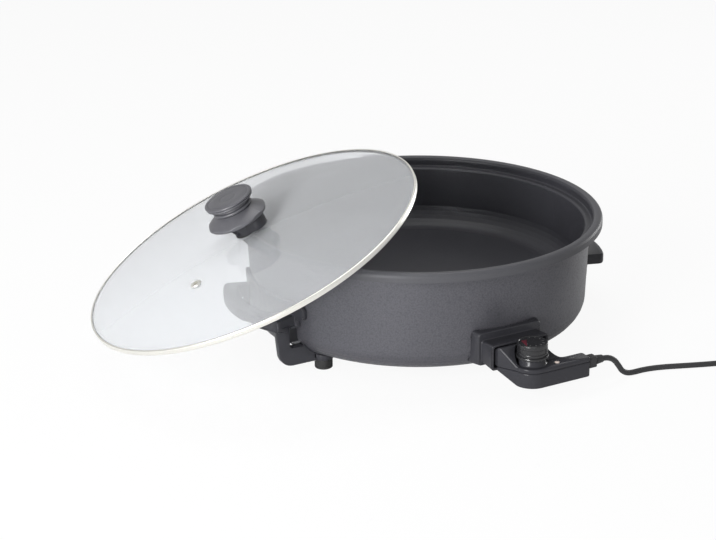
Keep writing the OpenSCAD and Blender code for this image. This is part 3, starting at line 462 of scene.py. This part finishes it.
# %% [markdown]
# ## Metals
# The lid's band is polished stainless steel. Screws, pins and the heater's
# parts are plain steel, brass and cast aluminium. A metal mirrors what is round
# it, so its colour matters less than how its roughness wanders: one helper
# gives each a tint, a grain and an uneven polish.

# %% Metals
def metal(name, dark, light, roughness, grain_scale, depth):
    """A bare metal with a grain in its tint and its polish."""
    bare = Finish(name, dark, roughness, Metallic=1.0)
    grain = bare.noise(grain_scale, 3.0, 0.6)
    bare.feed("Base Color", bare.mix(grain, dark, light))
    bare.feed("Roughness", roughness - 0.06 + grain * 0.16)
    bare.bump(grain, depth, strength=0.4)
    return bare.done()


band_steel = metal(
    "polished_band_steel", (0.86, 0.84, 0.78), (0.93, 0.92, 0.87),
    roughness=0.28, grain_scale=500.0, depth=0.00002)
screw_steel = metal(
    "zinc_steel", (0.5, 0.5, 0.51), (0.66, 0.66, 0.66),
    roughness=0.34, grain_scale=700.0, depth=0.00002)
pin_steel = metal(
    "bright_steel", (0.55, 0.55, 0.55), (0.7, 0.7, 0.7),
    roughness=0.22, grain_scale=600.0, depth=0.00001)
sheath_steel = metal(
    "annealed_sheath", (0.13, 0.12, 0.11), (0.26, 0.25, 0.24),
    roughness=0.5, grain_scale=300.0, depth=0.00003)
cast_aluminium = metal(
    "cast_aluminium", (0.52, 0.53, 0.54), (0.68, 0.69, 0.7),
    roughness=0.46, grain_scale=260.0, depth=0.00008)
brass = metal(
    "contact_brass", (0.6, 0.46, 0.2), (0.75, 0.6, 0.3),
    roughness=0.28, grain_scale=500.0, depth=0.00002)

# %% [markdown]
# ## Glass
# The lid is tempered glass. In a bright room it carries a pale veil, so it
# isn't made fully clear: three quarters of the light passes, and the rest is
# scattered by a light grey-blue. A single see-through sheet would be quicker,
# but the lid is a real 4 mm shell here, so light bends at both its faces. A
# very faint waviness stands for what tempering leaves.

# %% Glass
def tempered_glass():
    glass = Finish("tempered_glass", (0.81, 0.825, 0.845), 0.01, IOR=1.34,
                   Transmission_Weight=0.74)
    wave = glass.noise(9.0, 1.0)
    glass.bump(wave, depth=0.0004, strength=0.08)
    glass.feed("Roughness", 0.004 + wave * 0.012)
    return glass.done()


lid_glass = tempered_glass()

# %% [markdown]
# ## Finishing a piece
# A finished piece keeps its object at the origin, with its place in its mesh, so
# that its texture coordinates are the CAD model's own and a pattern runs over
# neighbours without a jump. It rides on a body, and the solids that it stands
# for are hidden.

# %% Finishing pieces
ROUND_WALL, ROUNDED_EDGE = 35, 50     # degrees up to which two faces look as one


def fix_place(piece):
    """Moves the piece's place, turn and size into its mesh."""
    pick(piece)
    bpy.ops.object.transform_apply(location=True, rotation=True, scale=True)


def apply_modifier(piece, kind, **settings):
    pick(piece)
    modifier = piece.modifiers.new(kind.lower(), kind)
    for key, value in settings.items():
        setattr(modifier, key, value)
    bpy.ops.object.modifier_apply(modifier=modifier.name)


def set_at(piece, at=(0, 0, 0), turn=(0, 0, 0)):
    """Turns a piece by degrees, then moves it by millimetres, in its mesh."""
    piece.rotation_euler = [math.radians(angle) for angle in turn]
    piece.location = Vector(at) * MM
    fix_place(piece)


def smooth(piece, angle=ROUND_WALL):
    pick(piece)
    bpy.ops.object.shade_smooth_by_angle(angle=math.radians(angle))


def wear(piece, body, finish, slot, *replaced):
    """Gives a piece its body and its finish, and hides the solids that it stands for.
    """
    piece.data.materials.clear()
    piece.data.materials.append(finish)
    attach(piece, body)
    if replaced:
        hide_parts(*replaced)
    print(piece.name, len(piece.data.polygons), "faces")


# %% [markdown]
# ## Rounded copies of the solids
# No moulding has a knife-sharp edge. Its form could be modelled again, but where
# only the edges are wanting it is surer to start from the solid. Its mesh is
# loose triangles, so a copy is merged first, and its flat faces are made whole,
# because a bevel needs clean edges to follow.

# %% Rounded copies of the solids
FLAT_WITHIN, SHARP_EDGE, STRAY_SHARE = 0.5, 32, 0.8


def merged(node, name, weld=0.005, whole_faces=True):
    """A copy of a solid as one connected mesh, with its flat faces whole."""
    copy = bpy.data.objects.new(name, nodes[node].data.copy())
    bpy.context.scene.collection.objects.link(copy)
    pick(copy)
    bpy.ops.object.mode_set(mode="EDIT")
    bpy.ops.mesh.select_all(action="SELECT")
    bpy.ops.mesh.remove_doubles(threshold=weld * MM)
    if whole_faces:
        bpy.ops.mesh.dissolve_limited(angle_limit=math.radians(FLAT_WITHIN))
    bpy.ops.mesh.normals_make_consistent(inside=False)
    bpy.ops.object.mode_set(mode="OBJECT")
    return copy


def ease(piece, width, segments=2, clamp=False):
    """Rounds the sharp edges of a piece by width millimetres.

    Clamping would thin the whole bevel to what the smallest facet allows, so it
    is on only where that still leaves a bevel. Without it, a corner beside a
    very small facet can be thrown past it. Such corners are put back on the
    solid as it was before.
    """
    solid = BVHTree.FromObject(piece, bpy.context.evaluated_depsgraph_get())
    apply_modifier(piece, "BEVEL", width=width * MM, segments=segments,
                   limit_method="ANGLE", angle_limit=math.radians(SHARP_EDGE),
                   use_clamp_overlap=clamp, harden_normals=False)
    strays = 0
    for vertex in piece.data.vertices:
        place, _, _, distance = solid.find_nearest(vertex.co)
        if distance > STRAY_SHARE * width * MM:
            vertex.co = place
            strays += 1
    print(piece.name, "corners put back:", strays)
    smooth(piece, ROUNDED_EDGE)


def eased(node, width, name, segments=2, clamp=False):
    """A merged copy of a solid with its edges rounded."""
    copy = merged(node, name)
    ease(copy, width, segments, clamp)
    return copy


# %% [markdown]
# ## The lid's pane
# The glass has the right shape as a solid, but that is loose triangles, and its
# shading breaks along a line across the dome. Turning it again would lose the
# hole for the vent, so a merged copy closes the line. A dome has no flat faces
# to make whole. Its shading is averaged by area, so that the slimmest triangles
# pull at it the least.

# %% Pane
pane = merged("lid_glass", "pane", whole_faces=False)
smooth(pane)
apply_modifier(pane, "WEIGHTED_NORMAL", mode="FACE_AREA_WITH_ANGLE", weight=50)
wear(pane, "lid", lid_glass, "lid_glass", "lid_glass")

# %% [markdown]
# ## Turned pieces
# The band, the cap, the dial and the foot pads are round, as if cut on a lathe.
# A cylinder could be scaled and inset ring by ring, but the profile is what a
# designer draws, so it is drawn here: one vertex is extruded from point to
# point, and the line is spun once round the upright axis. The spin leaves
# double vertices at its seam and its poles, which are merged before the faces
# are turned outwards.

# %% Turned pieces
SPIN_WELD = 0.02


def bend(centre, radius, start, end, steps=6):
    """Points along a rounded corner of a profile, in millimetres and degrees."""
    angles = [math.radians(start + (end - start) * i / steps)
              for i in range(steps + 1)]
    return [(centre[0] + radius * math.cos(angle),
             centre[1] + radius * math.sin(angle)) for angle in angles]


def draw(name, points):
    """Starts a piece, in edit mode, as a line through points in millimetres."""
    rest()
    bpy.ops.mesh.primitive_plane_add(size=MM, location=[x * MM for x in points[0]])
    piece = bpy.context.object
    piece.name = name
    fix_place(piece)
    bpy.ops.object.mode_set(mode="EDIT")
    bpy.ops.mesh.select_mode(type="VERT")
    bpy.ops.mesh.select_all(action="SELECT")
    bpy.ops.mesh.merge(type="CENTER")
    for here, there in zip(points, points[1:]):
        bpy.ops.mesh.extrude_region_move(TRANSFORM_OT_translate={
            "value": [(b - a) * MM for a, b in zip(here, there)]})
    bpy.ops.mesh.select_all(action="SELECT")
    return piece


def turned(name, profile, steps=96):
    """Draws a profile of (radius, height) points and spins it."""
    piece = draw(name, [(radius, 0, height) for radius, height in profile])
    bpy.ops.mesh.spin(steps=steps, angle=2 * math.pi, center=(0, 0, 0), axis=(0, 0, 1))
    bpy.ops.mesh.select_all(action="SELECT")
    bpy.ops.mesh.remove_doubles(threshold=SPIN_WELD * MM)
    bpy.ops.mesh.normals_make_consistent(inside=False)
    bpy.ops.object.mode_set(mode="OBJECT")
    smooth(piece)
    return piece


# %% [markdown]
# ## The lid's band
# A strip of steel is rolled round the glass and folded over its edge. A short
# lip lies on top, a second one below, and the outer corners are round from the
# rolling. A bevelled ring would look solid, so the strip's own profile is drawn,
# closed on itself, and spun. The lid's pieces are made upright and then take
# the place in which the lid leans on the pan.

# %% The lid's place
LID_AT, LID_LEAN, LEANS_TOWARDS = (-203.52, 9.70, 124.9), 23.44, 166.3
LID_PLACE = (Matrix.Translation(Vector(LID_AT) * MM)
             @ Matrix.Rotation(math.radians(LEANS_TOWARDS), 4, "Z")
             @ Matrix.Rotation(math.radians(LID_LEAN), 4, "Y")
             @ Matrix.Rotation(math.radians(-LEANS_TOWARDS), 4, "Z"))


def lean(piece):
    """Takes a piece from the lid's own frame to where the lid leans on the pan."""
    piece.matrix_world = LID_PLACE
    fix_place(piece)


print("the lid leans by", LID_LEAN, "degrees")

# %% Band
LIP_IN, BAND_R, WALL = 193.0, 195, 0.8
band = turned("lid_band", [
    (LIP_IN, 0), *bend((BAND_R - 1.2, 1.2), 1.2, -90, 0, 4),
    *bend((BAND_R - 1.2, 4.8), 1.2, 0, 90, 4), (LIP_IN + 0.3, 6),
    (LIP_IN, 5.7), (LIP_IN + 0.2, 5.15), (BAND_R - 1.0, 5.1),
    (BAND_R - WALL, 4.9), (BAND_R - WALL, 1.1), (BAND_R - 1.0, 0.9),
    (LIP_IN, 0.9), (LIP_IN, 0),
], steps=160)
lean(band)
wear(band, "lid", band_steel, "lid_band", "lid_rim")

# %% [markdown]
# ## The knob
# The knob is a stack of phenolic mouldings on one long screw: a ribbed pedestal
# with a wing that the lid can stand on, an eight-sided finger guard, a collar
# and a cap. The cap and the collar are round, and are spun from profiles that
# are finer than the solids', with the grooves in which light draws lines. The
# other two keep their form and get the rounded edges that a mould leaves.

# %% Cap
cap = turned("cap", [
    (0, 62), (24.6, 62), *bend((25.7, 63.1), 1.1, -90, 55, 5), (25.6, 64.4),
    (25.6, 64.8), *bend((26.0, 65.9), 1.5, -60, 85, 8), (24.4, 67.45),
    (23.7, 66.9), (22.9, 66.85), (22.1, 67.4), (16, 67.5), (9.4, 67.35),
    (8.8, 67.1), (8.1, 67.1), (7.5, 67.3), (3, 67.2), (0, 67.15),
])
lean(cap)
wear(cap, "lid", painted_lit_knob_phenolic, "phenolic", "knob_cap")

# %% Collar
collar = turned("collar", [
    (0, 53), (19.5, 53), (19.6, 53.5), *bend((20.6, 55.3), 1.8, -80, 75, 8),
    (19.7, 57.5), (19.3, 58.6), (19.5, 60.4), (20.3, 61.4), (21.5, 62), (0, 62),
])
lean(collar)
wear(collar, "lid", painted_lit_knob_phenolic, "phenolic", "knob_collar")

# %% Guard and pedestal
guard = eased("knob_guard", 1.2, "guard", 3, clamp=True)
wear(guard, "lid", painted_lit_knob_phenolic, "phenolic", "knob_guard")
pedestal = eased("knob_pedestal", 0.8, "pedestal", clamp=True)
wear(pedestal, "lid", phenolic, "phenolic", "knob_pedestal")

# %% [markdown]
# ## Handles
# Each handle is one moulding: a grip with a finger hole, a plate that lies on
# the shell, and a leg that goes in under the pan to a foot. Beside the leg the
# plate is cut away, so that steam and crumbs don't lodge between them. A form as
# free as this would take long to model again, so a merged copy of the solid is
# used: the cuts are made first, and then all sharp edges are rounded together.

# %% Handles
LEG_CUTS = [((180, 56, 32.4), (197.6, 62.6, 53.2)),
            ((180, 24, 10), (212, 56.4, 34.8))]
HANDLE_WELD, HANDLE_EDGE = 0.3, 0.9


def cut(piece, low, high):
    """Takes a box, given by two corners in millimetres, out of a piece."""
    rest()
    low, high = Vector(low) * MM, Vector(high) * MM
    bpy.ops.mesh.primitive_cube_add(size=1, location=(low + high) / 2,
                                    scale=high - low)
    block = bpy.context.object
    fix_place(block)
    apply_modifier(piece, "BOOLEAN", object=block, operation="DIFFERENCE",
                   solver="EXACT")
    bpy.data.objects.remove(block)


def handle(name, side):
    """A handle on the right (side 1) or, turned half round, the left (side -1)."""
    piece = merged(name, name + "_moulding", weld=HANDLE_WELD)
    for box in LEG_CUTS:
        corners = [[side * x, side * y, z] for x, y, z in box]
        cut(piece, [min(a, b) for a, b in zip(*corners)],
            [max(a, b) for a, b in zip(*corners)])
    ease(piece, HANDLE_EDGE, 3)
    wear(piece, "pan", painted_lit_handle_phenolic, "phenolic", name)


handle("handle_right", 1)
handle("handle_left", -1)

# %% [markdown]
# ## Foot pads
# Each leg ends in a rubber pad with a soft lower edge and a groove round it. A
# bevelled cylinder would lack the groove and the stud inside, so the pad is
# turned. The four are a quarter turn apart round the pan's axis.

# %% Foot pads
SHELL_R, HALF_GRIP, LEG_OUT = 196, 17.3, 2.7
FOOT_AT = (156, SHELL_R * math.sin(math.radians(HALF_GRIP)) + LEG_OUT, 0)


def foot_pad(number):
    """A rubber pad with a soft edge and a ring groove."""
    pad = turned(f"pad_{number}", [
        (4, 0), *bend((8.6, 1.4), 1.4, -90, 0, 4), (10, 3.4), (9.5, 3.8),
        (9.5, 4.3), (10, 4.7), (10, 10.2), (9.4, 11), (4, 11), (4, 15), (0, 15),
        (0, 3), (4, 3), (4, 0)], steps=48)
    set_at(pad, FOOT_AT)
    set_at(pad, turn=(0, 0, 90 * (number - 1)))
    wear(pad, "pan", rubber, "foot_rubber", f"foot_pad_{number}")


for number in range(1, 5):
    foot_pad(number)

# %% [markdown]
# ## Socket and controller
# The socket's flange and the controller's two half shells are injection
# moulded. What makes them read as moulded is the radius on every edge, which
# catches a thin line of light, and the groove where two radii meet at the seam.
# The solids have all their forms, so their copies need nothing but the radii.

# %% Socket and cases
socket = eased("socket_bracket", 1.0, "socket_moulding", 3)
wear(socket, "pan", phenolic, "phenolic", "socket_bracket")
lower = eased("controller_lower_case", 1.3, "lower_case", 3)
wear(lower, "controller", case_plastic, "case_plastic", "controller_lower_case")
upper = eased("controller_upper_case", 1.4, "upper_case", 3)
wear(upper, "controller", case_plastic, "case_plastic", "controller_upper_case")

# %% [markdown]
# ## The dial
# The dial is a ringed drum over a wide skirt. Three grooves round it give grip,
# the top is a little sunk inside a rounded edge, and a raised red wedge shows
# where it points. Ticks on the top mark the steps. Wedge and ticks could be a
# pattern in the material, but raised ones catch the light, so they are drawn as
# flat outlines and pulled up. One tick is modelled, and the nine are copies of
# it, each turned further.

# %% Dial drum
DIAL_AT = (0, -240, 46.3)
DIAL_TOP = 16.7
DIAL_FACE, DIAL_GROOVE = DIAL_TOP - 0.2, DIAL_TOP - 0.5
drum = turned("dial_drum", [
    (0, 0), (16.9, 0), (17.5, 0.6), (17.5, 2.3), (17.1, 2.9), (15.9, 3.2),
    (15.9, 4.0), (16.3, 4.2), (16.5, 4.6), (16.5, 6.0), (16.3, 6.4), (15.9, 6.6),
    (15.9, 7.4), (16.3, 7.6), (16.5, 8.0), (16.3, 11.2), (15.9, 11.5),
    (15.9, 11.9), (16.3, 12.2), *bend((15.2, DIAL_TOP - 1.2), 1.2, 0, 90, 6),
    (14.6, DIAL_TOP), (14.2, DIAL_GROOVE), (13.6, DIAL_GROOVE),
    (13.3, DIAL_FACE), (0, DIAL_FACE),
])
set_at(drum, DIAL_AT)
wear(drum, "dial", dial_plastic, "case_plastic", "dial")

# %% Pointer and ticks
def raised(name, outline, height, round_by=0.12):
    """A flat outline in millimetres that stands up from the dial's face.

    It starts below the face, at the depth of the groove, so that no gap shows.
    """
    piece = draw(name, [(x, y, DIAL_GROOVE) for x, y in outline])
    bpy.ops.mesh.edge_face_add()
    bpy.ops.mesh.extrude_region_move(TRANSFORM_OT_translate={
        "value": (0, 0, height * MM)})
    bpy.ops.mesh.select_all(action="SELECT")
    bpy.ops.mesh.normals_make_consistent(inside=False)
    bpy.ops.object.mode_set(mode="OBJECT")
    apply_modifier(piece, "BEVEL", width=round_by * MM, segments=2,
                   limit_method="ANGLE", angle_limit=math.radians(SHARP_EDGE))
    smooth(piece, ROUNDED_EDGE)
    return piece


pointer = raised("pointer", [(-9.4, 7.4), (-12.2, -8.2), (-3.2, 6.6)],
                 height=0.62)
set_at(pointer, DIAL_AT)
wear(pointer, "dial", pointer_red, "pointer_red", "dial_pointer")

TICKS_FROM, TICK_STEP = 105, 30
tick = raised("tick", [(10.2, -0.3), (12.6, -0.3), (12.6, 0.3), (10.2, 0.3)],
              height=0.4, round_by=0.06)
for number in range(1, 10):
    mark = tick.copy()
    mark.data = tick.data.copy()
    mark.name = f"tick_{number}"
    bpy.context.scene.collection.objects.link(mark)
    set_at(mark, DIAL_AT, turn=(0, 0, TICKS_FROM - TICK_STEP * number))
    wear(mark, "dial", tick_paint, "case_plastic")
bpy.data.objects.remove(tick)

# %% [markdown]
# ## Lamp lens
# A small clear dome lets the pilot lamp shine through the case. A scaled
# sphere would meet the case at a slant, so a straight neck and the arc above it
# are turned as one.

# %% Lamp lens
lens = turned("lens_dome", [(0, 35.5), (2.6, 35.5), (2.6, 38.9),
                            *bend((0, 32.9), 6.5, 66.4, 90, 5)], steps=32)
set_at(lens, (23.5, -252.5, 0))
wear(lens, "controller", lens_pale_and_painted_highlight, "lens_plastic", "neon_lens")

# %% [markdown]
# ## Strain relief and plug
# Where the cord leaves the arm a block of soft PVC holds it, and a ribbed sleeve
# tapers down to the cord, so that it bends in a curve and not at the edge. The
# plug is moulded from the same PVC, with finger grooves round its neck. Rings
# could be laid round a cone, but the ribs are part of one moulding, so a loop
# writes them into the sleeve's profile. Both pieces are spun upright and then
# laid along the cord.

# %% Strain relief
SLEEVE_FROM, SLEEVE_LENGTH, RIBS = 71.4, 82 - 71.4, 4
SLEEVE_R, SLEEVE_TAPER, SLEEVE_END_R = 5.3, 1.2, 3.9
sleeve_profile = [(0, 0)]
for rib in range(RIBS):
    z = SLEEVE_LENGTH * rib / RIBS
    r = SLEEVE_R - SLEEVE_TAPER * rib / RIBS
    sleeve_profile += [(r - 0.7, z + 0.05), (r - 0.1, z + 0.45), (r, z + 0.9),
                       (r - 0.15, z + 1.7), (r - 0.8, z + 2.1)]
sleeve_profile += [(SLEEVE_END_R, SLEEVE_LENGTH), (0, SLEEVE_LENGTH)]
sleeve = turned("sleeve", sleeve_profile, steps=40)
set_at(sleeve, (SLEEVE_FROM, -252.5, 30.5), turn=(0, 90, 0))

relief = eased("strain_relief", 0.7, "relief")
relief.select_set(True)
sleeve.select_set(True)
bpy.context.view_layer.objects.active = relief
bpy.ops.object.join()
wear(relief, "controller", cord_rubber, "cord_rubber", "strain_relief")

# %% Plug and tie
plug = turned("plug", [
    (0, 0), (4.2, 0), (4.6, 2), (4.2, 3.2), (5.1, 4.2), (5.4, 6), (4.9, 7.2),
    (5.8, 8.2), (6.1, 10), (5.6, 11.2), (6.5, 12.2), (6.9, 15), (7.4, 19),
    (8.6, 22), *bend((12.2, 31.8), 6.2, -88, 0, 8), (18.4, 36), (18.0, 37),
    (18.0, 38.4), (18.5, 39.4), *bend((17.5, 52), 1, 0, 90, 4), (0, 53),
])
set_at(plug, CORD_TAIL[-1], turn=(-90, 0, 0))
wear(plug, "controller", cord_rubber, "cord_rubber", "plug_body")
tie = eased("cord_tie", 0.25, "tie")
wear(tie, "controller", tie_plastic, "tie_plastic", "cord_tie")

# %% [markdown]
# ## Finishes of the solids
# Screws, pins, the heater and most of the inside keep the shape of their
# solids and only need a finish. Each solid could get its material where its
# neighbours are made, but one list by name shows at a glance that none is left
# bare. Numbered solids share the line of their group.

# %% Finishes of the solids
FINISHES = {
    "outer_shell": shell_paint, "inner_pan": pan_coating,
    "heater_plate": cast_aluminium, "heating_element": sheath_steel,
    "terminal_pin": pin_steel, "element_seal": ceramic, "probe_guide_tube": pin_steel,
    "earth_strip": brass, "socket_bracket": phenolic, "bracket_screw": screw_steel,
    "handle_left": painted_lit_handle_phenolic, "handle_right": painted_lit_handle_phenolic,
    "handle_screw": screw_steel, "base_foot": phenolic, "foot_pad": rubber,
    "pan_stud": screw_steel, "pan_nut": screw_steel,
    "lid_glass": lid_glass, "lid_rim": band_steel, "vent_grommet": band_steel,
    "knob_gasket": rubber, "knob_pedestal": phenolic, "knob_guard": painted_lit_knob_phenolic,
    "knob_collar": painted_lit_knob_phenolic, "knob_cap": painted_lit_knob_phenolic,
    "knob_washer": screw_steel, "knob_screw": screw_steel,
    "controller_lower_case": case_plastic, "controller_upper_case": case_plastic,
    "contact_block": phenolic, "receptacle": brass, "probe_rod": pin_steel,
    "neon_lens": lens_pale_and_painted_highlight, "dial_pointer": pointer_red, "dial_shaft": screw_steel,
    "dial": dial_plastic, "thermostat_cam": nylon, "strain_relief": cord_rubber,
    "cord_tie": tie_plastic, "cord_coil": cord_rubber, "cord": cord_rubber,
    "plug_body": cord_rubber, "plug_pins": brass,
}


def finish_of(name):
    """The finish of a node, or of the group of numbered nodes that it is in."""
    return FINISHES.get(name) or FINISHES[name.rsplit("_", 1)[0]]


for name, solid in nodes.items():
    solid.data.materials.clear()
    solid.data.materials.append(finish_of(name))
print(len({finish_of(name) for name in nodes}), "finishes on", len(nodes), "solids")

# %% [markdown]
# ## The cord's finish
# The cord gets its sheath last. It is a free cord that starts at the strain
# relief, ends in a plug and is stored in a coil, and it rides on the controller.
# It stands for two solids, the run on the table and the coil, which are hidden.

# %% Cord finish
cord.data.materials.append(cord_rubber)
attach(cord, "controller")
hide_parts("cord", "cord_coil")
